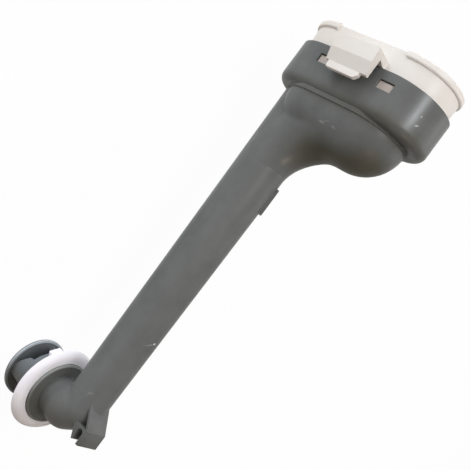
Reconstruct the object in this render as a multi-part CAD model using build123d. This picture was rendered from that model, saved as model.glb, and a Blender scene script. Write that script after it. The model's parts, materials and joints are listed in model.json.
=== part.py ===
"""Feed tube and hub of a dishwasher's upper spray arm, in millimetres.

The parts are drawn in the tube's frame: the hub's upright axis crosses the tube's level axis at zero,
+X runs from the docking mouth to the hub and +Z is up. They are written out from the axis of the
basket wire that the clip holds, which lies across the tube.
"""
from build123d import *
from math import acos, atan2, cos, degrees, hypot, radians, sin, tan
import os

# Duct run
hub_to_neck = 219.0
tube_end_radius = 12.4
tube_mouth_radius = 15.3
tube_end_setback = 6.0
wall = 2.0

# Neck that turns the tube up into the docking mouth
neck_radius = 24.0
neck_turn_radius = 25.0
neck_low = 13.0
neck_high = 43.2
neck_growth = 1.5
neck_lead = 12.0
neck_tail = 3.0
neck_bury = 0.3

# Elbow and outlet over the hub
ball_radius = 13.4
ball_drop = 10.3
ball_neck_radius = 12.4
flange_radius = 19.3
flange_top = 21.4
flange_thickness = 1.7
flange_lip_width = 1.3
flange_lip_height = 0.5
journal_radius = 15.5
outlet_wall = 1.9

# Bearing ring
ring_radius = 26.3
ring_height = 8.2
ring_overlap = 0.9
ring_running_gap = 0.06
ring_end_gap = 0.3
ring_crown_width = 1.0
ring_edge_depth = 3.8
ring_edge_height = 0.6
ring_skirt_width = 4.6
lug_count = 2
lug_angle = -145.3
lug_width = 7.2
lug_depth = 3.0
lug_height = 3.3
lug_round = 0.6

# Spool under the ring
spigot_length = 7.0
spigot_gap = 0.05
spigot_wall = 1.8
spigot_end_gap = 0.4
snap_reach = 0.5
snap_height = 2.0
shoulder_reach = 1.1
shoulder_height = 1.2
collar_radius = 16.0
collar_wall = 2.2
collar_roof = 1.6
collar_foot = 38.7
spool_floor = 47.6
spool_foot = 48.9
dish_radius = 19.2
dish_rim_top = 46.9
dish_rim_width = 1.4
dish_edge_round = 0.6

# Legs between collar and disc, from their own middle line
leg_count = 3
leg_turn = 2.0
leg_collar_left = 8.0
leg_foot_left = 6.3
leg_foot_right = -0.6
leg_ramp_right = 7.5
leg_ramp_drop = 3.1
leg_collar_right = 8.1

# Wire clip
wire_radius = 2.25
wire_ahead = 1.9
wire_height = 14.2
clip_width = 15.4
clip_band = 1.35
clip_plate = 2.3
clip_nose = 7.5
clip_throat = 3.7
clip_tip = 1.0
clip_strap = 1.5
clip_strap_slope = 36.0
clip_fold_round = 0.7
clip_nose_round = 0.6

# Docking skirt
mouth_rise = 28.1
skirt_half_length = 49.4
skirt_half_width = 26.1
neck_to_skirt = 0.6
skirt_height = 24.8
skirt_wall = 2.2
skirt_foot_round = 4.7
neck_ledge = 0.8
neck_ledge_height = 1.3

# Windows, a little above the middle of the mouth
window_offset = 4.0
window_spacing = 40.8
window_width = 9.3
window_height = 5.1
window_drop = 5.2

# Docking insert
insert_gap = 0.5
insert_wall = 2.0
insert_reach = 13.7
insert_flare = 0.7
insert_foot_gap = 0.4
lip_height = 4.0
lip_rise = 1.2
lip_reach = 1.2
tab_gap = 0.7
tab_seat_gap = 0.2
tab_shy = 0.9

# Latch
latch_offset = 3.3
latch_width = 27.1
latch_rise = 5.2
latch_reach = 11.0
latch_crease = 8.4
latch_crease_lean = 0.6
latch_drop = 15.0
latch_lean = 3.4
latch_arm = 2.6
latch_bridge = 3.7
latch_gap = 5.1
latch_wall_gap = 0.5
latch_left_round = 3.0
latch_right_round = 0.8
latch_edge_round = 0.4
thumb_offset = -1.0
thumb_width = 21.0
thumb_drop = 3.8
thumb_chamfer = 2.2
thumb_round = 1.5

# Moulded pad on the tube's far upper flank
pad_start = 151.5
pad_length = 17.2
pad_width = 7.0
pad_rise = 1.5
pad_edge_round = 0.5
pad_tilt = 37.0

overshoot = 1.0


def tube_radius(distance):
    """Outside radius of the tube at a distance from the hub's axis."""
    return tube_end_radius + (tube_mouth_radius - tube_end_radius) * distance / hub_to_neck


def mouth_plane(distance):
    """Plane across the docking mouth's axis, its x axis up and its normal out of the mouth."""
    return Plane(origin=(-distance, 0, mouth_rise), x_dir=(0, 0, 1), z_dir=(-1, 0, 0))


def drum(radius, top, bottom):
    """Upright cylinder on the hub's axis between two depths under the tube's axis."""
    return Pos(0, 0, -bottom) * Cylinder(radius, bottom - top, align=(Align.CENTER, Align.CENTER, Align.MIN))


def neck_sections(inset):
    """Circles that leave the tube, turn up and end inside the neck's column."""
    turn_x = hub_to_neck - neck_radius - neck_turn_radius
    start_radius = tube_radius(turn_x)
    turn_z = start_radius + neck_turn_radius
    growth = neck_radius - start_radius
    lead_plane = Plane(origin=(neck_lead - turn_x, 0, 0), x_dir=(0, 1, 0), z_dir=(-1, 0, 0))
    sections = [lead_plane * Circle(tube_radius(turn_x - neck_lead) - inset - 2 * neck_bury)]
    for angle in (0, 30, 60, 90):
        radius = start_radius + growth * (angle / 90) ** neck_growth
        reach = neck_turn_radius + radius
        across = sin(radians(angle))
        along = cos(radians(angle))
        centre = (-turn_x - reach * across, 0, turn_z - reach * along)
        plane = Plane(origin=centre, x_dir=(0, 1, 0), z_dir=(-along, 0, across))
        sections.append(plane * Circle(radius - inset - neck_bury))
    tail_plane = Plane(origin=(-hub_to_neck, 0, turn_z + neck_tail), x_dir=(0, 1, 0), z_dir=(0, 0, 1))
    sections.append(tail_plane * Circle(neck_radius - inset - 2 * neck_bury))
    return sections


def flow_body(inset):
    """Tube, turned neck and column as one body, set in by a wall for the waterway."""
    tube_plane = Plane(origin=(-tube_end_setback, 0, 0), z_dir=(-1, 0, 0))
    tube = tube_plane * Cone(
        tube_radius(tube_end_setback) - inset,
        tube_mouth_radius - inset,
        hub_to_neck - tube_end_setback,
        align=(Align.CENTER, Align.CENTER, Align.MIN),
    )
    column = Pos(-hub_to_neck, 0, neck_low) * Cylinder(
        neck_radius - inset, neck_high - neck_low, align=(Align.CENTER, Align.CENTER, Align.MIN)
    )
    lower_end = Pos(-hub_to_neck, 0, neck_low) * Sphere(neck_radius - inset)
    upper_end = Pos(-hub_to_neck, 0, neck_high) * Sphere(neck_radius - inset)
    elbow = loft(neck_sections(inset))
    body = tube + column + lower_end + upper_end + elbow
    behind = Plane(origin=(-hub_to_neck, 0, 0), x_dir=(0, 1, 0), z_dir=(1, 0, 0))
    return split(body, bisect_by=behind, keep=Keep.TOP)


def capsule(start, start_radius, end, end_radius):
    """Two spheres in the middle plane and the cone that touches both."""
    run = hypot(end[0] - start[0], end[1] - start[1])
    lean = acos((start_radius - end_radius) / run)
    start_join = (start_radius * cos(lean), start_radius * sin(lean))
    end_join = (run + end_radius * cos(lean), end_radius * sin(lean))
    outline = Curve() + [
        ThreePointArc(
            (-start_radius, 0),
            (start_radius * cos((lean + radians(180)) / 2), start_radius * sin((lean + radians(180)) / 2)),
            start_join,
        ),
        Line(start_join, end_join),
        ThreePointArc(
            end_join,
            (run + end_radius * cos(lean / 2), end_radius * sin(lean / 2)),
            (run + end_radius, 0),
        ),
        Line((run + end_radius, 0), (-start_radius, 0)),
    ]
    body = revolve(Plane.XY * make_face(outline), Axis.X)
    turn = degrees(atan2(end[1] - start[1], end[0] - start[0]))
    return Pos(start[0], 0, start[1]) * Rot(0, -turn, 0) * body


def elbow_body(inset, bottom):
    """Rounded end of the tube, the ball under it and its straight neck down to a depth."""
    end = (-tube_end_setback, 0)
    ball = (0, -ball_drop)
    body = capsule(end, tube_radius(tube_end_setback) - inset, ball, ball_radius - inset)
    return body + drum(ball_neck_radius - inset, ball_drop, bottom)


def flange_bottom():
    """Depth of the flange's underside."""
    return flange_top + flange_thickness


def ring_foot():
    """Depth of the ring's underside."""
    return flange_bottom() - ring_overlap + ring_height


def outlet_depth():
    """Depth of the outlet's end, where the spool's shoulder meets it."""
    return ring_foot() + ring_end_gap


def flange():
    """Flange over the ring, with a low lip round its edge."""
    lip_top = flange_top - flange_lip_height
    body = drum(flange_radius, lip_top, flange_bottom())
    hollow = Pos(0, 0, -flange_top) * Cone(
        flange_radius - flange_lip_width - flange_lip_height,
        flange_radius - flange_lip_width,
        flange_lip_height,
        align=(Align.CENTER, Align.CENTER, Align.MIN),
    )
    body -= hollow
    outer = body.edges().filter_by(GeomType.CIRCLE).sort_by(SortBy.RADIUS)[-2:]
    return fillet(outer, flange_lip_height / 2)


def snap_bead(clearance):
    """Ring-shaped bead between spigot and outlet, grown by a clearance."""
    spigot_radius = journal_radius - outlet_wall
    middle = outlet_depth() - spigot_length + snap_height
    half = snap_height / 2 + clearance
    profile = Polyline(
        (spigot_radius - overshoot, -middle + half),
        (spigot_radius, -middle + half),
        (spigot_radius + snap_reach + clearance, -middle),
        (spigot_radius, -middle - half),
        (spigot_radius - overshoot, -middle - half),
        close=True,
    )
    return revolve(Plane.XZ * make_face(profile), Axis.Z)


def clip():
    """Sprung clip for a basket wire: sloping strap, flat plate, round-ended slot and wedge arm."""
    slope = radians(clip_strap_slope)
    slot_top = wire_height + wire_radius
    slot_bottom = wire_height - wire_radius
    plate_top = slot_top + clip_plate
    back = wire_ahead - wire_radius - clip_band
    root = tube_end_radius / 2 + wire_radius - clip_band
    strap_top_x = back - (plate_top - root) / tan(slope)
    strap_low_x = strap_top_x + clip_strap / sin(slope)
    strap_low_z = root + (back - strap_low_x) * tan(slope)
    tip_top = slot_top - clip_throat
    outline = Curve() + [
        Polyline(
            (wire_ahead, slot_top),
            (clip_nose, slot_top),
            (clip_nose, plate_top),
            (back, plate_top),
            (strap_top_x, root),
            (strap_low_x, root),
            (back, strap_low_z),
            (back, root),
            (wire_ahead - wire_radius, root),
            (clip_nose, tip_top - clip_tip),
            (clip_nose - clip_tip, tip_top),
            (wire_ahead, slot_bottom),
        ),
        ThreePointArc(
            (wire_ahead, slot_bottom), (wire_ahead - wire_radius, wire_height), (wire_ahead, slot_top)
        ),
    ]
    body = extrude(Plane.XZ * make_face(outline), clip_width / 2, both=True)
    high = body.edges().filter_by(Axis.Y).group_by(Axis.Z)[-1].sort_by(Axis.X)
    body = fillet(high[0], clip_fold_round)
    high = body.edges().filter_by(Axis.Y).group_by(Axis.Z)[-1].sort_by(Axis.X)
    return fillet(high[-1], clip_nose_round)


def pad():
    """Low pad moulded on the tube."""
    middle = pad_start + pad_length / 2
    reach = tube_radius(middle) + pad_rise
    body = Box(pad_length, pad_width, reach, align=(Align.CENTER, Align.CENTER, Align.MIN))
    body = fillet(body.faces().sort_by(Axis.Z)[-1].edges(), pad_edge_round)
    return Pos(-middle, 0, 0) * Rot(-pad_tilt, 0, 0) * body


def mouth_slot(distance, inset):
    """Obround of the skirt's outline, set in, across the mouth's axis."""
    return mouth_plane(distance) * SlotOverall(
        2 * (skirt_half_length - inset), 2 * (skirt_half_width - inset)
    )


def skirt_foot():
    """Distance of the skirt's foot from the hub's axis."""
    return hub_to_neck + neck_to_skirt


def skirt_rim():
    """Distance of the skirt's rim from the hub's axis."""
    return skirt_foot() + skirt_height


def skirt_outside():
    """Obround wall with a rounded foot."""
    body = extrude(mouth_slot(skirt_foot(), 0), skirt_height)
    return fillet(body.edges().group_by(Axis.X)[-1], skirt_foot_round)


def skirt_floor():
    """Distance of the floor inside the skirt from the hub's axis."""
    return skirt_foot() + skirt_wall


def skirt_inside():
    """Hollow of the skirt, with a rounded foot."""
    hollow = extrude(mouth_slot(skirt_floor(), skirt_wall), skirt_rim() + overshoot - skirt_floor())
    return fillet(hollow.edges().group_by(Axis.X)[-1], skirt_foot_round - skirt_wall)


def window_box(side, along, width, height, depth, top):
    """Block through the skirt's wall, a height along the mouth's axis under a distance from its rim."""
    z = mouth_rise + window_offset + along * window_spacing / 2
    return Pos(-skirt_rim() + top + height / 2, side * depth, z) * Box(
        height, 2 * (skirt_half_width + overshoot - depth), width
    )


def feed_duct():
    """Tube, neck, skirt, elbow, flange and clip in one moulding."""
    body = flow_body(0) + elbow_body(0, flange_bottom()) + flange() + clip() + pad()
    body += drum(journal_radius, flange_bottom() - flange_thickness / 2, outlet_depth())
    body += skirt_outside() + neck_ledge_body()
    body -= flow_body(wall)
    body -= elbow_body(wall, outlet_depth() - spigot_length + spigot_end_gap)
    body -= drum(journal_radius - outlet_wall, outlet_depth() - spigot_length, outlet_depth())
    body -= snap_bead(spigot_gap)
    body -= skirt_inside()
    body -= extrude(mouth_plane(hub_to_neck) * neck_outline(wall), skirt_floor() + overshoot - hub_to_neck)
    depth = skirt_half_width - 2 * skirt_wall
    for side in (-1, 1):
        for along in (-1, 1):
            body -= window_box(side, along, window_width, window_height, depth, window_drop)
    return body


def neck_ledge_body():
    """Low ledge round the neck where it meets the skirt's foot."""
    start = mouth_plane(skirt_foot() - neck_ledge_height) * neck_outline(-neck_ledge)
    return extrude(start, neck_ledge_height + overshoot)


def neck_outline(inset):
    """Obround of the neck's column in the mouth's plane."""
    middle = (neck_low + neck_high) / 2 - mouth_rise
    length = neck_high - neck_low + 2 * (neck_radius - inset)
    return Pos(middle, 0) * SlotOverall(length, 2 * (neck_radius - inset))


def insert_outline(inset, growth):
    """Obround of the insert, set in by a wall and grown by the flare or the lip."""
    half_length = skirt_half_length - skirt_wall - insert_gap - inset + growth
    half_width = skirt_half_width - skirt_wall - insert_gap - inset + growth
    return SlotOverall(2 * half_length, 2 * half_width)


def insert_rim():
    """Distance of the insert's rim from the hub's axis."""
    return skirt_rim() + insert_reach


def sleeve(inset):
    """Obround sleeve of the insert, straight in the skirt and flared above its rim."""
    foot = skirt_foot() + skirt_foot_round + insert_foot_gap
    straight = extrude(mouth_plane(foot) * insert_outline(inset, 0), skirt_rim() - foot)
    flare = loft(
        [
            mouth_plane(skirt_rim()) * insert_outline(inset, 0),
            mouth_plane(insert_rim()) * insert_outline(inset, insert_flare),
        ]
    )
    return straight + flare


def lip():
    """Lip round the insert's two curved ends, standing a little over the flat walls."""
    top = insert_rim() + lip_rise
    band = extrude(mouth_plane(top - lip_height) * insert_outline(0, insert_flare + lip_reach), lip_height)
    ends = band.edges().group_by(Axis.X)
    band = fillet(ends[0] + ends[-1], lip_reach)
    flat_length = 2 * (skirt_half_length - skirt_half_width)
    return band - Pos(-top, 0, mouth_rise) * Box(3 * lip_height, 3 * skirt_half_width, flat_length)


def latch():
    """Hooked latch over the skirt's rim, with its thumb tab."""
    top = skirt_rim() + latch_rise
    wall_y = skirt_half_width - skirt_wall - insert_gap - insert_wall / 2
    front = skirt_half_width + latch_reach
    foot = top - latch_drop
    lean_front = front - latch_lean
    back = skirt_half_width + latch_gap
    outline = Polyline(
        (-top, -wall_y),
        (-top, -front),
        (-top + latch_crease, -front + latch_crease_lean),
        (-foot, -lean_front),
        (-foot, -lean_front + latch_arm),
        (-top + latch_bridge, -back),
        (-skirt_rim() - insert_foot_gap, -skirt_half_width - latch_wall_gap),
        (-skirt_rim() - insert_foot_gap, -wall_y),
        close=True,
    )
    middle = mouth_rise + latch_offset
    hook = Pos(0, 0, middle - latch_width / 2) * extrude(make_face(outline), latch_width)
    shoulders = hook.edges().filter_by(Axis.Y).group_by(Axis.X)[0].sort_by(Axis.Z)
    hook = fillet(shoulders[0], latch_left_round)
    shoulders = hook.edges().filter_by(Axis.Y).group_by(Axis.X)[0].sort_by(Axis.Z)
    hook = fillet(shoulders[-1], latch_right_round)
    return hook + thumb_tab(foot, lean_front, middle + thumb_offset)


def thumb_tab(foot, front, middle):
    """Tab under the latch's arm, with one corner chamfered and the other rounded."""
    tab = Pos(-foot - overshoot, -front + latch_arm / 2, middle) * Box(
        thumb_drop + overshoot,
        latch_arm,
        thumb_width,
        align=(Align.MIN, Align.CENTER, Align.CENTER),
    )
    right = tab.edges().filter_by(Axis.Y).group_by(Axis.X)[-1].sort_by(Axis.Z)[-1]
    tab = chamfer(right, thumb_chamfer)
    left = tab.edges().filter_by(Axis.Y).group_by(Axis.Z)[0].sort_by(Axis.X)[-1]
    tab = fillet(left, thumb_round)
    face_edges = tab.edges().group_by(Axis.Y)[0]
    return fillet(face_edges.filter_by(Axis.Z), latch_edge_round)


def docking_insert():
    """Sleeve, lip, latch and snap tabs in one moulding."""
    body = sleeve(0) + lip() + latch()
    depth = skirt_half_width - skirt_wall - insert_gap - insert_wall / 2
    width = window_width - 2 * tab_seat_gap
    height = window_height - tab_gap - tab_seat_gap
    limit = extrude(mouth_slot(skirt_foot(), tab_shy), skirt_height)
    for side in (-1, 1):
        for along in (-1, 1):
            tab = window_box(side, along, width, height, depth, window_drop + tab_gap)
            body += tab & limit
    return body - bore()


def bore():
    """Waterway through the insert."""
    inner = sleeve(insert_wall)
    end = inner.faces().sort_by(Axis.X)[0]
    return inner + extrude(end, lip_rise + overshoot, dir=(-1, 0, 0))


def bearing_ring():
    """Ring with a rounded crown, a recess under the flange, a thin edge and bayonet lugs."""
    bore_radius = journal_radius + ring_running_gap
    seat_top = flange_bottom() + ring_end_gap
    foot = ring_foot()
    recess = flange_radius + ring_end_gap
    crown_top = foot - ring_height
    crown_end = recess + ring_crown_width
    edge = crown_top + ring_edge_depth
    turn = radians(45)
    crown_middle = (
        crown_end + (ring_radius - crown_end) * cos(turn),
        -edge + ring_edge_depth * sin(turn),
    )
    under = edge + ring_edge_height
    skirt = bore_radius + ring_skirt_width
    outline = Curve() + [
        Polyline(
            (bore_radius, -seat_top),
            (recess, -seat_top),
            (recess, -crown_top),
            (crown_end, -crown_top),
        ),
        ThreePointArc((crown_end, -crown_top), crown_middle, (ring_radius, -edge)),
        Polyline(
            (ring_radius, -edge),
            (ring_radius - ring_edge_height, -under),
            (skirt, -under),
            (skirt, -foot),
            (bore_radius, -foot),
            (bore_radius, -seat_top),
        ),
    ]
    body = revolve(Plane.XZ * make_face(outline), Axis.Z)
    for count in range(lug_count):
        body += Rot(0, 0, lug_angle + count * 360 / lug_count) * lug(under)
    return body


def lug(under):
    """Bayonet lug that hangs from the ring's edge."""
    radius = ring_radius - ring_edge_height
    top = under - ring_edge_height
    block = Pos(radius - lug_depth, 0, -under - lug_height) * Box(
        lug_depth, lug_width, under - top + lug_height, align=(Align.MIN, Align.CENTER, Align.MIN)
    )
    return fillet(block.edges().filter_by(Axis.Z).group_by(Axis.X)[-1], lug_round)


def spray_hub():
    """Spigot, shoulder, collar on three legs and disc in one moulding."""
    top = outlet_depth()
    spigot_radius = journal_radius - outlet_wall - spigot_gap
    bore_radius = spigot_radius - spigot_wall
    seat = (spool_floor + spool_foot) / 2
    shoulder = top + shoulder_height
    body = drum(collar_radius, shoulder - shoulder_height / 2, seat)
    body += drum(spigot_radius, top - spigot_length + spigot_end_gap, shoulder)
    body += drum(journal_radius + shoulder_reach, top, shoulder)
    body += snap_bead(0)
    body -= drum(bore_radius, top - 2 * spigot_length, seat + overshoot)
    body -= drum(collar_radius - collar_wall, shoulder + collar_roof, seat + overshoot)
    body -= windows(seat)
    return body + dish()


def windows(seat):
    """Everything between the legs, from the collar's foot down to the disc."""
    band = drum(collar_radius + overshoot, collar_foot, seat + overshoot)
    for count in range(leg_count):
        band -= Rot(0, 0, leg_turn + count * 360 / leg_count) * leg(seat)
    return band


def leg(seat):
    """Leg seen from outside: wide under the collar, with a sloping side down to a narrow foot."""
    top = collar_foot - overshoot
    foot = seat + 2 * overshoot
    outline = Polyline(
        (leg_collar_left, -top),
        (leg_foot_left, -foot),
        (-leg_foot_right, -foot),
        (-leg_foot_right, -spool_floor),
        (-leg_ramp_right, -collar_foot - leg_ramp_drop),
        (-leg_collar_right, -top),
        close=True,
    )
    return extrude(Plane.XZ * make_face(outline), collar_radius + 2 * overshoot)


def dish():
    """Disc with a low raised rim and a rounded lower edge."""
    body = drum(dish_radius, dish_rim_top, spool_foot)
    body = fillet(body.edges().filter_by(GeomType.CIRCLE).group_by(Axis.Z)[0], dish_edge_round)
    return body - drum(dish_radius - dish_rim_width, dish_rim_top - overshoot, spool_floor)


parts = {
    "feed_duct": feed_duct(),
    "docking_insert": docking_insert(),
    "bearing_ring": bearing_ring(),
    "spray_hub": spray_hub(),
}
os.makedirs("parts", exist_ok=True)
to_wire = Pos(-wire_ahead, 0, -wire_height)
for name, shape in parts.items():
    export_step(to_wire * shape, f"parts/{name}.step")
    print(name, len(shape.solids()), shape.volume, shape.is_valid)
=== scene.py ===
import json
from collections import namedtuple

import bpy
from bpy.props import FloatProperty, FloatVectorProperty, PointerProperty
from mathutils import Matrix, Vector


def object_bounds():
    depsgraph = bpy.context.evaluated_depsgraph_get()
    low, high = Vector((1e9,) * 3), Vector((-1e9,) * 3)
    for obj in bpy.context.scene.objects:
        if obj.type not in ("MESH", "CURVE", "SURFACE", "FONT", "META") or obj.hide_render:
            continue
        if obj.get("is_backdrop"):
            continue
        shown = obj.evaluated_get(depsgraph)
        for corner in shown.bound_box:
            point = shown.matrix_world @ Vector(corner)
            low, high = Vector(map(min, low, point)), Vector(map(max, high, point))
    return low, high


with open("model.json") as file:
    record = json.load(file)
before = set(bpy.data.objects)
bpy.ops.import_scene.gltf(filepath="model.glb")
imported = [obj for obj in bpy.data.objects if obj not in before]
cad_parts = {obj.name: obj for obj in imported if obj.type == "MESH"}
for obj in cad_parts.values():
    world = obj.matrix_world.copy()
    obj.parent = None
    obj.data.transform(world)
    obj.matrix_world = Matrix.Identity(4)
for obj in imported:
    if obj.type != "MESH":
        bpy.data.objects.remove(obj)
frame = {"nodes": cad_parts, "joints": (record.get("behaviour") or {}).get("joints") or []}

bl_info = {
    "name": "Spray Arm Feed Tube",
    "version": (1, 1, 0),
    "blender": (4, 5, 0),
    "location": "View3D > Sidebar > Feed Tube",
    "description": "Finishes the feed tube, its docking insert, bearing ring and hub, and sets the stage",
    "category": "Object",
}

NODES = frame["nodes"]
CAD_LOW, CAD_HIGH = (tuple(corner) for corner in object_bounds())
MILLIMETRE = 0.001

Moulding = namedtuple("Moulding", "shade roughness bump_strength bump_depth")
Mark = namedtuple("Mark", "middle towards half_length half_width strength")
Lamp = namedtuple("Lamp", "name direction side colour lights_faces")

# Each plastic: the share of its colour in darker patches, its roughness, and its grain's strength and depth.
DUCT_MOULDING = Moulding(0.76, 0.32, 0.25, 0.15 * MILLIMETRE)
INSERT_MOULDING = Moulding(0.95, 0.40, 0.20, 0.12 * MILLIMETRE)
RING_MOULDING = Moulding(0.96, 0.34, 0.15, 0.10 * MILLIMETRE)
HUB_MOULDING = Moulding(0.80, 0.32, 0.25, 0.15 * MILLIMETRE)
PLASTIC_SHEEN = 0.06

# Noises that break up the plastics, with their scales in grains a metre.
MOTTLING = {"scale": 42.0, "detail": 6.0, "roughness": 0.6}
FLOW_LINES = {"scale": 60.0, "detail": 3.0, "stretch": (0.15, 1.0, 1.0)}
FILM_PATCHES = {"scale": 90.0, "detail": 4.0}
RUBBED_PATCHES = {"scale": 300.0, "detail": 5.0, "roughness": 0.7}
SCUFF_SPECKS = {"scale": 1600.0, "detail": 3.0, "roughness": 0.7}
NOISE_MIDDLE = 0.5

# Values between which the patches of each noise, the sharp edges and the ends of the marks fade.
MOTTLING_FADE = (0.32, 0.68)
FILM_FADE = (0.35, 0.65)
RUBBED_FADE = (0.55, 0.75)
SCUFF_FADE = (0.38, 0.58)
EDGE_FADE = (0.02, 0.2)
MARK_FADE = (0.5, 1.0)
EDGE_SAMPLES = 8

# Shares of the mottling in the patches and of the grain in the height, and what each adds to the roughness.
MOTTLING_SHARE = 0.65
GRAIN_SHARE = 0.7
MOTTLING_ROUGHNESS = 0.14
GRAIN_ROUGHNESS = 0.08

# How many times paler than its plastic each painted highlight on edges and rims is, and each scuff.
DUCT_HIGHLIGHT_PALENESS = 2.4
HUB_HIGHLIGHT_PALENESS = 2.6
DISC_RIM_HIGHLIGHT_PALENESS = 2.8
SCUFF_RUBBED = 6.0

# How far each painted highlight on edges and rims and each rubbed patch on the ring takes on its own colour,
# as a share, and the painted highlight on the flange's front as a share of that on its rim.
EDGE_PAINTED_HIGHLIGHT = 0.4
INSERT_EDGE_PAINTED_HIGHLIGHT = 0.6
RIM_PAINTED_HIGHLIGHT = 0.8
FLANGE_FRONT_HIGHLIGHT = 0.3
RING_WEAR = 0.25

# Least of a scuff that is left between its specks, and how much rougher it is.
SCUFF_THINNEST = 0.3
SCUFF_ROUGHNESS = 0.2

# Colours of the white pieces under painted shade at the insert's low end, under painted highlights on its
# edges, under painted shade with a little dirt in its windows, in the ring's rubbed patches and under painted
# shade on one side of the ring, and how far the insert takes on its painted shade.
INSERT_SHADE_COLOUR = (0.64, 0.55, 0.46)
INSERT_HIGHLIGHT_COLOUR = (0.92, 0.90, 0.87)
INSERT_TAB_SHADE_AND_DIRT = (0.46, 0.41, 0.37)
RING_PALE = (0.76, 0.74, 0.80)
RING_SHADE_COLOUR = (0.45, 0.37, 0.30)
INSERT_LOW_SHADE = 0.35

# Strength of film with painted crease shade at the neck's foot, from its low to its high end, of film with
# painted shade on the neck's front, and of painted shade on the fronts of the duct, the hub and the ring.
FOOT_FILM_AND_SHADE = (0.3, 0.75)
NECK_FILM_AND_SHADE = 1.2
DUCT_END_SHADE = 0.8
HUB_FRONT_SHADE = 0.7
RING_SIDE_SHADE = 0.45

# Least of the film between its patches at the foot, the duct's share under full film and painted shade, and
# how much rougher it is there.
FILM_THINNEST = 0.6
FILM_AND_SHADE_COVER = 0.6
FILM_ROUGHNESS = 0.25

# Places on the object, in metres.
HUB_AXIS_X = frame["joints"][0]["pos_m"][0]
BALL_MIDDLE_Z = -0.0245
NECK_FOOT_X = -0.2228

# Stretches over which something fades, in metres along an axis or out from a middle.
BALL_BLEND_HEIGHT = (0.0085, 0.0110)
BALL_BLEND_X = (-0.034, -0.026)
NECK_BLEND_REAR_X = (-0.2175, -0.2150)
NECK_BLEND_FRONT_X = (-0.188, -0.180)
NECK_BLEND_TOP_Z = (0.010, 0.022)
FOOT_FILM_AND_SHADE_REACH = (0.001, 0.0085)
FOOT_FILM_AND_SHADE_Z = (-0.020, 0.040)
NECK_FILM_AND_SHADE_REAR_X = (-0.2150, -0.2050)
NECK_FILM_AND_SHADE_FRONT_X = (-0.186, -0.176)
NECK_FILM_AND_SHADE_HALF_WIDTH = (0.009, 0.020)
NECK_FILM_AND_SHADE_Z = (-0.004, 0.012)
HUB_SHADE_X = (-0.010, 0.010)
RING_SHADE_X = (0.002, 0.022)
INSERT_SHADE_Z = (-0.030, 0.035)
TAB_INSIDE_Y = (0.0236, 0.0238)
TAB_OUTSIDE_Y = (0.0255, 0.0257)
TAB_REAR_X = (-0.2420, -0.2415)
FLANGE_RIM_RADIUS = (0.0178, 0.0185)
FLANGE_RIM_X = (-0.010, 0.012)
FLANGE_RIM_Z = (-0.032, -0.030)
DISC_RIM_RADIUS = (0.0174, 0.0178)
DISC_RIM_Z = (-0.0623, -0.0617)

# Each mark: its middle and a place further along it in metres, half its length and half its width in
# millimetres, and its strength.
NICK_AND_SCRATCH_ON_TUBE = (
    Mark((-0.0610, 0.0008, -0.0011), (-0.0620, 0.0030, -0.0011), 1.0, 0.7, 1.0),
    Mark((-0.0594, -0.0018, -0.0013), (-0.0577, -0.0045, -0.0019), 3.6, 0.28, 0.35),
)
SCUFFS_BY_ELBOW = (
    Mark((-0.0190, -0.0109, -0.0079), (-0.0225, -0.0095, -0.0060), 3.4, 0.35, 0.07),
    Mark((-0.0200, -0.0106, -0.0074), (-0.0185, -0.0120, -0.0110), 3.0, 0.6, 0.07),
    Mark((-0.0175, -0.0118, -0.0060), (-0.0150, -0.0125, -0.0050), 2.4, 0.4, 0.08),
)
SCUFFS_ON_SKIRT = (
    Mark((-0.2310, -0.0136, 0.0595), (-0.2316, -0.0128, 0.0598), 1.5, 0.5, 0.55),
    Mark((-0.2360, -0.0142, 0.0591), (-0.2370, -0.0140, 0.0592), 1.2, 0.4, 0.35),
)
SCUFFS_ON_NECK = (
    Mark((-0.2091, -0.0209, 0.0163), (-0.2089, -0.0208, 0.0200), 2.4, 0.6, 0.16),
    Mark((-0.2093, -0.0210, 0.0244), (-0.2088, -0.0207, 0.0270), 2.2, 0.7, 0.12),
    Mark((-0.2105, -0.0214, 0.0190), (-0.2120, -0.0220, 0.0240), 3.2, 0.5, 0.09),
)
DUCT_MARKS = (*NICK_AND_SCRATCH_ON_TUBE, *SCUFFS_BY_ELBOW, *SCUFFS_ON_SKIRT, *SCUFFS_ON_NECK)

# Each lamp: its name, the direction in which it stands, its side in metres, its colour, and whether it lights
# faces or shows only as a highlight.
KEY_LAMP = Lamp("key", (-0.68, -0.60, -0.40), 0.30, (0.88, 0.94, 1.0), True)
TOP_LAMP = Lamp("top", (-0.30, -0.34, 0.90), 0.4, (1.0, 0.98, 0.96), True)
BACK_LAMP = Lamp("back", (-0.25, 0.72, 0.65), 0.4, (0.95, 0.97, 1.0), True)
STREAK_LAMP = Lamp("streak", (-0.43, -0.32, 0.85), 0.1, (0.92, 0.96, 1.0), False)
WARM_LAMP = Lamp("warm", (0.64, 0.08, 0.76), 0.05, (1.0, 0.80, 0.58), False)
LAMP_DISTANCE = 0.9

# Floor and surroundings.
WHITE = (1.0, 1.0, 1.0, 1.0)
FLOOR_GREY = (0.90, 0.90, 0.90, 1.0)
FLOOR_ROUGHNESS = 0.9
FLOOR_SIDE = 8.0
WINDOW_SIDE = (-0.76, -0.59, -0.27)
SKY_COOL = (0.94, 0.975, 1.03, 1.0)
SKY_WARM = (1.0, 0.87, 0.74, 1.0)

# Photograph's side and focal length in pixels, the sensor in millimetres, and the camera's place and axes.
PHOTO_SIZE = 470.0
PHOTO_FOCAL = 742.6
SENSOR = 36.0
CLIP_START = 0.01
CAMERA_PLACE = (-0.1250, -0.3269, 0.2471)
CAMERA_RIGHT = (-0.59599855, 0.47254977, 0.6492168)
CAMERA_UP = (-0.80255368, -0.37706313, -0.46231049)
CAMERA_BACK = (0.026331, -0.79656771, 0.60397563)


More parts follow.
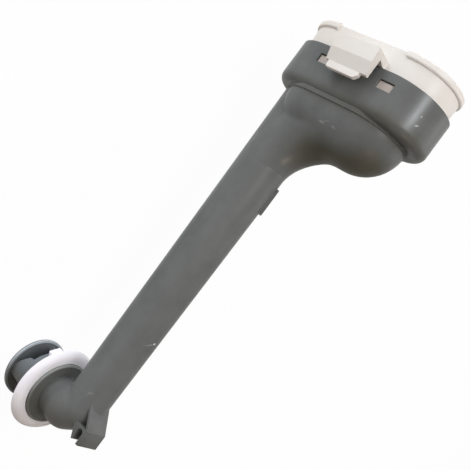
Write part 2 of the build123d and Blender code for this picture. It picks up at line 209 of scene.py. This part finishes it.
class Field:
    """A number, colour or vector that varies over a surface, with arithmetic written as usual."""

    def __init__(self, shading, socket):
        self.shading = shading
        self.socket = socket

    def _math(self, operation, first, second):
        return self.shading.node("ShaderNodeMath", {"operation": operation}, {0: first, 1: second})

    def __add__(self, other):
        return self._math("ADD", self, other)

    def __radd__(self, other):
        return self._math("ADD", other, self)

    def __sub__(self, other):
        return self._math("SUBTRACT", self, other)

    def __rsub__(self, other):
        return self._math("SUBTRACT", other, self)

    def __mul__(self, other):
        return self._math("MULTIPLY", self, other)

    def __rmul__(self, other):
        return self._math("MULTIPLY", other, self)

    def most(self, other):
        """The larger of two numbers."""
        return self._math("MAXIMUM", self, other)

    def size(self):
        """The number without its sign."""
        return self._math("ABSOLUTE", self, 0.0)

    def ramp(self, low, high):
        """0 below low, 1 above high, and smooth between."""
        settings = {"interpolation_type": "SMOOTHSTEP"}
        inputs = {"Value": self, "From Min": low, "From Max": high}
        return self.shading.node("ShaderNodeMapRange", settings, inputs, "Result")

    def between(self, low, high):
        """low where the number is 0, high where it is 1."""
        return low + (high - low) * self

    def blend(self, other, share):
        """This number by its share, and another by the rest."""
        return share * self + (1.0 - share) * other


class Shading:
    """The nodes of one material or world."""

    def __init__(self, tree):
        self.tree = tree

    def node(self, kind, settings=None, inputs=None, output=0):
        """A node of one kind, with its settings and then the values or links of its sockets."""
        made = self.tree.nodes.new(kind)
        for name, value in (settings or {}).items():
            setattr(made, name, value)
        for name, value in (inputs or {}).items():
            self.fill(made.inputs[name], value)
        return Field(self, made.outputs[output])

    def fill(self, socket, value):
        """Links a field to a socket, or sets the socket to a plain value."""
        if isinstance(value, Field):
            self.tree.links.new(value.socket, socket)
        else:
            socket.default_value = value

    def mix(self, factor, first, second):
        """Colour between two colours."""
        sockets = {"Factor": factor, 6: first, 7: second}
        return self.node("ShaderNodeMix", {"data_type": "RGBA"}, sockets, 2)

    def seen(self):
        """1 for what the camera sees, at first hand or in gloss or glass."""
        direct, gloss, glass = (
            self.node("ShaderNodeLightPath", output=name)
            for name in ("Is Camera Ray", "Is Glossy Ray", "Is Transmission Ray")
        )
        return direct.most(gloss).most(glass)

    def show(self, output, factor, first, second):
        """Sends two shaders to the named output, the second by a factor and the first by the rest."""
        mixed = self.node("ShaderNodeMixShader", None, {0: factor, 1: first, 2: second})
        self.fill(self.tree.nodes[output].inputs["Surface"], mixed)


class Finish(Shading):
    """One procedural material on a Principled shader, with Object coordinates."""

    def __init__(self, name):
        self.material = bpy.data.materials.new(name)
        self.material.use_nodes = True
        super().__init__(self.material.node_tree)
        self.shader = self.tree.nodes["Principled BSDF"]
        self.place = self.node("ShaderNodeTexCoord", output="Object")

    def constants(self, **values):
        """Values that are the same all over, on the shader's own sockets."""
        for name, value in values.items():
            self.shader.inputs[name.replace("_", " ")].default_value = value

    def feed(self, name, field):
        """Links what changes over the surface to one socket of the shader."""
        self.fill(self.shader.inputs[name], field)

    def along(self, axis):
        """Place along X, Y or Z, in metres."""
        return self.node("ShaderNodeSeparateXYZ", None, {"Vector": self.place}, axis)

    def noise(self, scale, detail=2.0, roughness=0.5, stretch=(1.0, 1.0, 1.0)):
        """Noise with its grains drawn out along the axes of stretch."""
        drawn_out = {"Vector": self.place, "Scale": stretch}
        place = self.node("ShaderNodeMapping", {"vector_type": "POINT"}, drawn_out)
        sizes = {"Vector": place, "Scale": scale, "Detail": detail, "Roughness": roughness}
        return self.node("ShaderNodeTexNoise", None, sizes)

    def inside(self, mark):
        """1 in the middle of a long mark, 0 outside it."""
        run = Vector(mark.towards) - Vector(mark.middle)
        turn = run.to_track_quat("X", "Z").to_euler()
        half_length = mark.half_length * MILLIMETRE
        half_width = mark.half_width * MILLIMETRE
        sizes = (half_length, half_width, half_width)
        sockets = {"Vector": self.place, "Location": mark.middle, "Rotation": turn, "Scale": sizes}
        place = self.node("ShaderNodeMapping", {"vector_type": "TEXTURE"}, sockets)
        reach = self.node("ShaderNodeVectorMath", {"operation": "LENGTH"}, {0: place}, "Value")
        return 1.0 - reach.ramp(*MARK_FADE)

    def give(self, piece):
        """Puts the finish on every material slot of a piece."""
        for slot in piece.material_slots:
            slot.material = self.material
        if not piece.material_slots:
            piece.data.materials.append(self.material)


class MouldedPlastic(Finish):
    """Plastic whose colour, roughness and height are built up in layers, and closed at the end."""

    def mould(self, moulding, colour, grain, edge_radius):
        """Starts with faint mottling, flow marks, a fine grain, uneven gloss and rounded edges."""
        mottling = self.noise(**MOTTLING)
        flow = self.noise(**FLOW_LINES)
        fine = self.noise(grain)
        patches = mottling.blend(flow, MOTTLING_SHARE).ramp(*MOTTLING_FADE)
        self.moulding = moulding
        self.colour = self.mix(patches, (*colour, 1.0), (*times(moulding.shade, colour), 1.0))
        self.roughness = moulding.roughness + MOTTLING_ROUGHNESS * (mottling - NOISE_MIDDLE)
        self.roughness = self.roughness + GRAIN_ROUGHNESS * (fine - NOISE_MIDDLE)
        self.height = fine.blend(flow, GRAIN_SHARE)
        self.sharp = self.edges(edge_radius)
        self.constants(Specular_IOR_Level=PLASTIC_SHEEN)

    def edges(self, radius):
        """1 on the sharp edges and 0 on the faces, with the edges rounded for the light."""
        self.rounded = self.node("ShaderNodeBevel", {"samples": EDGE_SAMPLES}, {"Radius": radius})
        facing = self.node("ShaderNodeNewGeometry", output="Normal")
        pair = {0: self.rounded, 1: facing}
        same = self.node("ShaderNodeVectorMath", {"operation": "DOT_PRODUCT"}, pair, "Value")
        return (1.0 - same).ramp(*EDGE_FADE)

    def lay(self, cover, colour, rougher=0.0):
        """Covers the plastic with a colour, from 0 for not at all to 1, and makes it rougher there."""
        self.colour = self.mix(cover, self.colour, (*colour, 1.0))
        if rougher:
            self.roughness = self.roughness + rougher * cover

    def scuff(self, marks, colour):
        """Lays pale marks: lighter, rougher and broken up by fine specks."""
        specks = self.noise(**SCUFF_SPECKS).ramp(*SCUFF_FADE).between(SCUFF_THINNEST, 1.0)
        for mark in marks:
            self.lay(self.inside(mark) * mark.strength * specks, colour, SCUFF_ROUGHNESS)

    def close(self, piece):
        """Links the colour, roughness and height to the shader, and gives the finish to its piece."""
        self.feed("Base Color", self.colour)
        self.feed("Roughness", self.roughness)
        relief = {
            "Height": self.height,
            "Strength": self.moulding.bump_strength,
            "Distance": self.moulding.bump_depth,
            "Normal": self.rounded,
        }
        self.feed("Normal", self.node("ShaderNodeBump", None, relief, "Normal"))
        self.give(piece)


def times(share, colour):
    """A colour made lighter or darker by one share."""
    return tuple(share * part for part in colour)


def blended_areas(finish):
    """1 where the moulding's forms flow into each other: round the ball and at the neck's low end."""
    x = finish.along("X")
    z = finish.along("Z")
    ball = (1.0 - (z - BALL_MIDDLE_Z).size().ramp(*BALL_BLEND_HEIGHT)) * x.ramp(*BALL_BLEND_X)
    neck = x.ramp(*NECK_BLEND_REAR_X) * (1.0 - x.ramp(*NECK_BLEND_FRONT_X))
    return ball.most(neck * (1.0 - z.ramp(*NECK_BLEND_TOP_Z)))


def corner_film_and_shade(finish):
    """Film and painted crease shade in the corner between the neck and the skirt, stronger towards the neck's
    high end.
    """
    near_foot = 1.0 - (finish.along("X") - NECK_FOOT_X).size().ramp(*FOOT_FILM_AND_SHADE_REACH)
    film_and_shade_strength = finish.along("Z").ramp(*FOOT_FILM_AND_SHADE_Z).between(*FOOT_FILM_AND_SHADE)
    patches = finish.noise(**FILM_PATCHES).ramp(*FILM_FADE)
    return near_foot * film_and_shade_strength * patches.between(FILM_THINNEST, 1.0)


def neck_film_and_shade_place(finish):
    """1 on the front of the neck, where film and painted shade are laid."""
    x = finish.along("X")
    front = x.ramp(*NECK_FILM_AND_SHADE_REAR_X) * (1.0 - x.ramp(*NECK_FILM_AND_SHADE_FRONT_X))
    middle = 1.0 - finish.along("Y").size().ramp(*NECK_FILM_AND_SHADE_HALF_WIDTH)
    return front * middle * finish.along("Z").ramp(*NECK_FILM_AND_SHADE_Z)


def snap_tabs(finish):
    """1 on the snap tabs that show in the skirt's windows."""
    y = finish.along("Y").size()
    beside = y.ramp(*TAB_INSIDE_Y) * (1.0 - y.ramp(*TAB_OUTSIDE_Y))
    return beside * finish.along("X").ramp(*TAB_REAR_X)


def off_hub_axis(finish, low, high):
    """0 nearer to the hub's axis than low, and 1 further from it than high."""
    x = finish.along("X") - HUB_AXIS_X
    y = finish.along("Y")
    return (x * x + y * y).ramp(low**2, high**2)


def flange_rim(finish):
    """1 on the outer edge of the flange over the ring, where a painted highlight is laid, and less on its
    front.
    """
    out = off_hub_axis(finish, *FLANGE_RIM_RADIUS)
    wear = finish.along("X").ramp(*FLANGE_RIM_X).between(1.0, FLANGE_FRONT_HIGHLIGHT)
    return out * wear * (1.0 - finish.along("Z").ramp(*FLANGE_RIM_Z))


def disc_rim(finish):
    """1 on the rim round the disc, on its top and over the edge, where a painted highlight is laid."""
    return off_hub_axis(finish, *DISC_RIM_RADIUS) * finish.along("Z").ramp(*DISC_RIM_Z)


def floor_of_stage(drop, white):
    """Pale floor under the hub, white to the camera and in reflections around the object's shadow."""
    bpy.ops.object.select_all(action="DESELECT")
    bpy.ops.mesh.primitive_plane_add(size=FLOOR_SIDE, location=(0.0, 0.0, CAD_LOW[2] - drop))
    floor = bpy.context.active_object
    floor.name = "floor"
    bpy.ops.object.transform_apply(location=True, rotation=True, scale=True)
    finish = Finish("pale floor")
    finish.constants(Base_Color=FLOOR_GREY, Roughness=FLOOR_ROUGHNESS, Specular_IOR_Level=0.0)
    lit = Field(finish, finish.shader.outputs[0])
    glow = finish.node("ShaderNodeEmission", None, {"Color": WHITE, "Strength": 1.0})
    finish.show("Material Output", white * finish.seen(), lit, glow)
    finish.give(floor)
    floor.visible_diffuse = False
    floor.visible_shadow = False
    floor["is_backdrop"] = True


def surroundings(strength, slope):
    """World that is white to the camera and in reflections, and soft light from one side elsewhere."""
    world = bpy.data.worlds.new("studio")
    bpy.context.scene.world = world
    world.use_nodes = True
    world.node_tree.nodes.remove(world.node_tree.nodes["Background"])
    sky = Shading(world.node_tree)
    place = sky.node("ShaderNodeTexCoord", output="Generated")
    pair = {0: place, 1: Vector(WINDOW_SIDE).normalized()}
    towards = sky.node("ShaderNodeVectorMath", {"operation": "DOT_PRODUCT"}, pair, "Value")
    tint = sky.mix(0.5 + 0.5 * towards, SKY_WARM, SKY_COOL)
    light = {"Color": tint, "Strength": strength * (1.0 + slope * towards)}
    soft = sky.node("ShaderNodeBackground", None, light)
    white = sky.node("ShaderNodeBackground", None, {"Color": WHITE, "Strength": 1.0})
    sky.show("World Output", sky.seen(), soft, white)


def area_lamp(lamp, power):
    """A square lamp that shines on the middle of the object from its own direction."""
    light = bpy.data.lights.new(lamp.name, "AREA")
    light.size = lamp.side
    light.energy = power
    light.color = lamp.colour
    holder = bpy.data.objects.new(lamp.name, light)
    bpy.context.scene.collection.objects.link(holder)
    middle = Vector((0.5 * (CAD_LOW[0] + CAD_HIGH[0]), 0.0, 0.0))
    direction = Vector(lamp.direction).normalized()
    holder.location = middle + LAMP_DISTANCE * direction
    holder.rotation_euler = direction.to_track_quat("Z", "Y").to_euler()
    holder.visible_diffuse = lamp.lights_faces


def camera_of_photo():
    """Camera at the photograph's viewpoint."""
    camera = bpy.data.cameras.new("camera")
    camera.sensor_width = SENSOR
    camera.lens = PHOTO_FOCAL / PHOTO_SIZE * SENSOR
    camera.clip_start = CLIP_START
    holder = bpy.data.objects.new("camera", camera)
    bpy.context.scene.collection.objects.link(holder)
    turn = Matrix((CAMERA_RIGHT, CAMERA_UP, CAMERA_BACK)).transposed().to_4x4()
    holder.matrix_world = Matrix.Translation(CAMERA_PLACE) @ turn
    bpy.context.scene.camera = holder


class FeedTubeFinishes(bpy.types.PropertyGroup):
    """Colours and grain of the moulded pieces."""

    duct_colour: FloatVectorProperty(
        name="Duct",
        description="Grey of the duct",
        subtype="COLOR",
        size=3,
        min=0.0,
        max=1.0,
        default=(0.156, 0.162, 0.158),
    )
    insert_colour: FloatVectorProperty(
        name="Insert",
        description="White of the docking insert",
        subtype="COLOR",
        size=3,
        min=0.0,
        max=1.0,
        default=(0.795, 0.760, 0.718),
    )
    ring_colour: FloatVectorProperty(
        name="Ring",
        description="White of the bearing ring",
        subtype="COLOR",
        size=3,
        min=0.0,
        max=1.0,
        default=(0.91, 0.89, 0.935),
    )
    hub_colour: FloatVectorProperty(
        name="Hub",
        description="Grey of the spool hub",
        subtype="COLOR",
        size=3,
        min=0.0,
        max=1.0,
        default=(0.190, 0.208, 0.220),
    )
    # Brown of film and of painted shade: film with painted shade at the neck, and painted shade on the duct's
    # and hub's fronts.
    film_and_shade_colour: FloatVectorProperty(
        name="Grime",
        description="Brown of the film that water leaves in corners",
        subtype="COLOR",
        size=3,
        min=0.0,
        max=1.0,
        default=(0.067, 0.057, 0.035),
    )
    grain: FloatProperty(
        name="Grain",
        description="Fineness of the moulded grain, in grains a metre",
        default=2600.0,
        min=100.0,
    )
    edge_radius: FloatProperty(
        name="Edge radius",
        description="Radius to which moulded edges look rounded",
        unit="LENGTH",
        default=0.35 * MILLIMETRE,
        min=0.0,
    )
    blend_radius: FloatProperty(
        name="Blend radius",
        description="Radius to which the duct's main forms look blended",
        unit="LENGTH",
        default=3.5 * MILLIMETRE,
        min=0.0,
    )


class FeedTubeStage(bpy.types.PropertyGroup):
    """Sizes and strengths of the stage."""

    floor_drop: FloatProperty(
        name="Floor drop",
        description="Room between the hub and the floor",
        unit="LENGTH",
        default=0.5 * MILLIMETRE,
        min=0.0,
    )
    floor_white: FloatProperty(
        name="Floor white",
        description="Share of white in the floor that the camera sees",
        subtype="FACTOR",
        default=0.96,
        min=0.0,
        max=1.0,
    )
    key_power: FloatProperty(
        name="Key",
        description="Power of the cool side lamp",
        unit="POWER",
        default=2.4,
        min=0.0,
    )
    top_power: FloatProperty(
        name="Top",
        description="Power of the lamp above",
        unit="POWER",
        default=2.8,
        min=0.0,
    )
    back_power: FloatProperty(
        name="Back",
        description="Power of the lamp behind the object",
        unit="POWER",
        default=1.8,
        min=0.0,
    )
    streak_power: FloatProperty(
        name="Streak",
        description="Power of the small cool lamp, which shows only as a highlight",
        unit="POWER",
        default=16.0,
        min=0.0,
    )
    warm_power: FloatProperty(
        name="Warm",
        description="Power of the small warm lamp, which shows only as a highlight",
        unit="POWER",
        default=7.0,
        min=0.0,
    )
    sky_strength: FloatProperty(
        name="Sky",
        description="Strength of the light from all sides",
        default=0.60,
        min=0.0,
    )
    sky_slope: FloatProperty(
        name="Sky slope",
        description="Share by which the light is stronger on the window's side and weaker on the other",
        subtype="FACTOR",
        default=0.8,
        min=0.0,
        max=1.0,
    )


class FEEDTUBE_OT_duct(bpy.types.Operator):
    """Finish the grey duct with film and painted shade, painted highlights on its edges and flange rim,
    scuffs and scratches
    """

    bl_idname = "feedtube.duct"
    bl_label = "Duct"

    def execute(self, context):
        sizes = context.scene.feed_tube_finishes
        colour = tuple(sizes.duct_colour)
        finish = MouldedPlastic("satin grey")
        blended = blended_areas(finish)
        radius = sizes.edge_radius + sizes.blend_radius * blended
        finish.mould(DUCT_MOULDING, colour, sizes.grain, radius)
        # Painted highlight on the duct's sharp edges and on the flange's rim.
        edges = EDGE_PAINTED_HIGHLIGHT * (finish.sharp * (1.0 - blended))
        finish.lay(edges.most(RIM_PAINTED_HIGHLIGHT * flange_rim(finish)), times(DUCT_HIGHLIGHT_PALENESS, colour))
        # Painted shade on the duct's front towards the hub end, where less light falls.
        front = DUCT_END_SHADE * finish.along("X").ramp(*HUB_SHADE_X)
        # Film with painted crease shade at the neck's foot, and film with painted shade on the neck's front,
        # joined with the front's painted shade.
        film_and_shade = corner_film_and_shade(finish).most(front).most(NECK_FILM_AND_SHADE * neck_film_and_shade_place(finish))
        # Lays this film and painted shade in one brown.
        finish.lay(FILM_AND_SHADE_COVER * film_and_shade, sizes.film_and_shade_colour, FILM_ROUGHNESS)
        finish.scuff(DUCT_MARKS, times(SCUFF_RUBBED, colour))
        finish.close(NODES["feed_duct"])
        return {"FINISHED"}


class FEEDTUBE_OT_insert(bpy.types.Operator):
    """Finish the off-white docking insert, with painted shade towards its lower end, painted highlights on
    its edges, and painted shade with a little dirt in the windows
    """

    bl_idname = "feedtube.insert"
    bl_label = "Docking insert"

    def execute(self, context):
        sizes = context.scene.feed_tube_finishes
        finish = MouldedPlastic("off white")
        finish.mould(INSERT_MOULDING, tuple(sizes.insert_colour), sizes.grain, sizes.edge_radius)
        # Painted shade, darker and warmer towards the insert's low end.
        finish.lay(INSERT_LOW_SHADE * (1.0 - finish.along("Z").ramp(*INSERT_SHADE_Z)), INSERT_SHADE_COLOUR)
        # Painted highlight on the insert's sharp edges.
        finish.lay(INSERT_EDGE_PAINTED_HIGHLIGHT * finish.sharp, INSERT_HIGHLIGHT_COLOUR)
        # Painted shade with a little dirt on the snap tabs down in the skirt's windows.
        finish.lay(snap_tabs(finish), INSERT_TAB_SHADE_AND_DIRT)
        finish.close(NODES["docking_insert"])
        return {"FINISHED"}


class FEEDTUBE_OT_ring(bpy.types.Operator):
    """Finish the white bearing ring, rubbed in patches and with painted shade on one side"""

    bl_idname = "feedtube.ring"
    bl_label = "Bearing ring"

    def execute(self, context):
        sizes = context.scene.feed_tube_finishes
        finish = MouldedPlastic("smooth white")
        finish.mould(RING_MOULDING, tuple(sizes.ring_colour), sizes.grain, sizes.edge_radius)
        finish.lay(RING_WEAR * finish.noise(**RUBBED_PATCHES).ramp(*RUBBED_FADE), RING_PALE)
        # Painted shade, warm and dark, on one side of the ring.
        finish.lay(RING_SIDE_SHADE * finish.along("X").ramp(*RING_SHADE_X), RING_SHADE_COLOUR)
        finish.close(NODES["bearing_ring"])
        return {"FINISHED"}


class FEEDTUBE_OT_hub(bpy.types.Operator):
    """Finish the blue grey spool hub, with painted highlights on its edges and the disc's rim, and painted
    shade on its front
    """

    bl_idname = "feedtube.hub"
    bl_label = "Spray hub"

    def execute(self, context):
        sizes = context.scene.feed_tube_finishes
        colour = tuple(sizes.hub_colour)
        finish = MouldedPlastic("blue grey")
        finish.mould(HUB_MOULDING, colour, sizes.grain, sizes.edge_radius)
        # Painted highlight on the hub's sharp edges.
        finish.lay(EDGE_PAINTED_HIGHLIGHT * finish.sharp, times(HUB_HIGHLIGHT_PALENESS, colour))
        # Painted highlight on the disc's rim.
        finish.lay(RIM_PAINTED_HIGHLIGHT * disc_rim(finish), times(DISC_RIM_HIGHLIGHT_PALENESS, colour))
        # Painted shade on the hub's front.
        finish.lay(HUB_FRONT_SHADE * finish.along("X").ramp(*HUB_SHADE_X), sizes.film_and_shade_colour)
        finish.close(NODES["spray_hub"])
        return {"FINISHED"}


class FEEDTUBE_OT_stage(bpy.types.Operator):
    """Set the floor, the lamps, the white surroundings and the camera"""

    bl_idname = "feedtube.stage"
    bl_label = "Stage"

    def execute(self, context):
        sizes = context.scene.feed_tube_stage
        floor_of_stage(sizes.floor_drop, sizes.floor_white)
        surroundings(sizes.sky_strength, sizes.sky_slope)
        area_lamp(KEY_LAMP, sizes.key_power)
        area_lamp(TOP_LAMP, sizes.top_power)
        area_lamp(BACK_LAMP, sizes.back_power)
        area_lamp(STREAK_LAMP, sizes.streak_power)
        area_lamp(WARM_LAMP, sizes.warm_power)
        camera_of_photo()
        context.scene.view_settings.view_transform = "Standard"
        return {"FINISHED"}


class FEEDTUBE_PT_panel(bpy.types.Panel):
    """Lists the sizes, the colours and the pieces"""

    bl_idname = "FEEDTUBE_PT_panel"
    bl_label = "Feed Tube"
    bl_space_type = "VIEW_3D"
    bl_region_type = "UI"
    bl_category = "Feed Tube"

    def draw(self, context):
        for group in (context.scene.feed_tube_finishes, context.scene.feed_tube_stage):
            for name in group.bl_rna.properties.keys():
                if name not in {"rna_type", "name"}:
                    self.layout.prop(group, name)
        for piece in PIECES:
            self.layout.operator(piece.bl_idname)


PIECES = (FEEDTUBE_OT_duct, FEEDTUBE_OT_insert, FEEDTUBE_OT_ring, FEEDTUBE_OT_hub, FEEDTUBE_OT_stage)
CLASSES = (FeedTubeFinishes, FeedTubeStage, *PIECES, FEEDTUBE_PT_panel)


def register():
    for made in CLASSES:
        bpy.utils.register_class(made)
    bpy.types.Scene.feed_tube_finishes = PointerProperty(type=FeedTubeFinishes)
    bpy.types.Scene.feed_tube_stage = PointerProperty(type=FeedTubeStage)


def unregister():
    del bpy.types.Scene.feed_tube_stage
    del bpy.types.Scene.feed_tube_finishes
    for made in reversed(CLASSES):
        bpy.utils.unregister_class(made)


def main():
    """Makes every piece in order."""
    register()
    bpy.ops.feedtube.duct()
    bpy.ops.feedtube.insert()
    bpy.ops.feedtube.ring()
    bpy.ops.feedtube.hub()
    bpy.ops.feedtube.stage()


if __name__ == "__main__":
    main()
